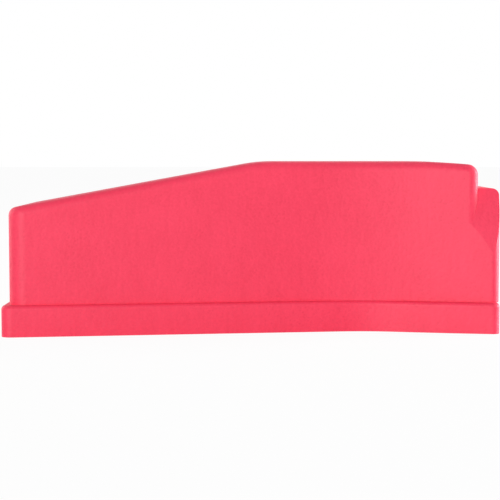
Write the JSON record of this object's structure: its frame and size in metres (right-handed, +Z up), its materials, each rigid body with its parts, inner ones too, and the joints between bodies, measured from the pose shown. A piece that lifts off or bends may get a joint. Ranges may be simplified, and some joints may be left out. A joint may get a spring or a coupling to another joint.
{
  "type": "climbing skin trimming cutter",
  "caption": "Palm-held cutter for trimming climbing skins: wedge housing on a waisted fence base, sliding blade, hinged spare-blade door.",
  "frame": {"origin": "on the sole, at the middle of the length and of the body depth", "axes": "+X along the tool from the low nose to the tail, +Y from the palm side to the ski side, +Z up"},
  "size_m": [0.1086, 0.039, 0.0376],
  "materials": {
    "coral_shell": "fine spark-eroded grain, satin",
    "black_acetal": "satin",
    "screw_steel": "blackened, turned",
    "stainless_sheet": "brushed along its length",
    "ground_steel": "ground",
    "blade_steel": "ground, honed edge",
    "brass": "turned"
  },
  "bodies": {
    "shell": {"base_plate": "coral_shell", "housing_shell": "coral_shell", "threaded_inserts": "brass", "base_screws": "screw_steel", "cover_screws": "screw_steel", "tongue_screws": "screw_steel", "shoe_screws": "screw_steel", "tongue_plate": "stainless_sheet", "fence_strip": "stainless_sheet", "fence_pins": "ground_steel", "glide_shoe": "black_acetal", "guide_rods": "ground_steel", "back_cover": "coral_shell", "door_pin": "ground_steel", "blade_tray": "black_acetal", "spare_blades": "blade_steel"},
    "cutter": {"blade_carriage": "black_acetal", "detent_ball": "ground_steel", "detent_screw": "screw_steel", "detent_spring": "ground_steel", "trim_blade": "blade_steel", "blade_clamp": "stainless_sheet", "thumb_slide": "black_acetal", "thumb_screw": "screw_steel"},
    "door": {"blade_door": "coral_shell"}
  },
  "joints": [
    {"name": "blade_slide", "type": "slide", "parent": "shell", "child": "cutter", "axis": [0, 0, -1], "range_m": [0, 0.0064]},
    {"name": "door_hinge", "type": "hinge", "parent": "shell", "child": "door", "pos_m": [0.0265, 0.0168, 0.018], "axis": [-1, 0, 0], "range_deg": [0, 90]}
  ]
}
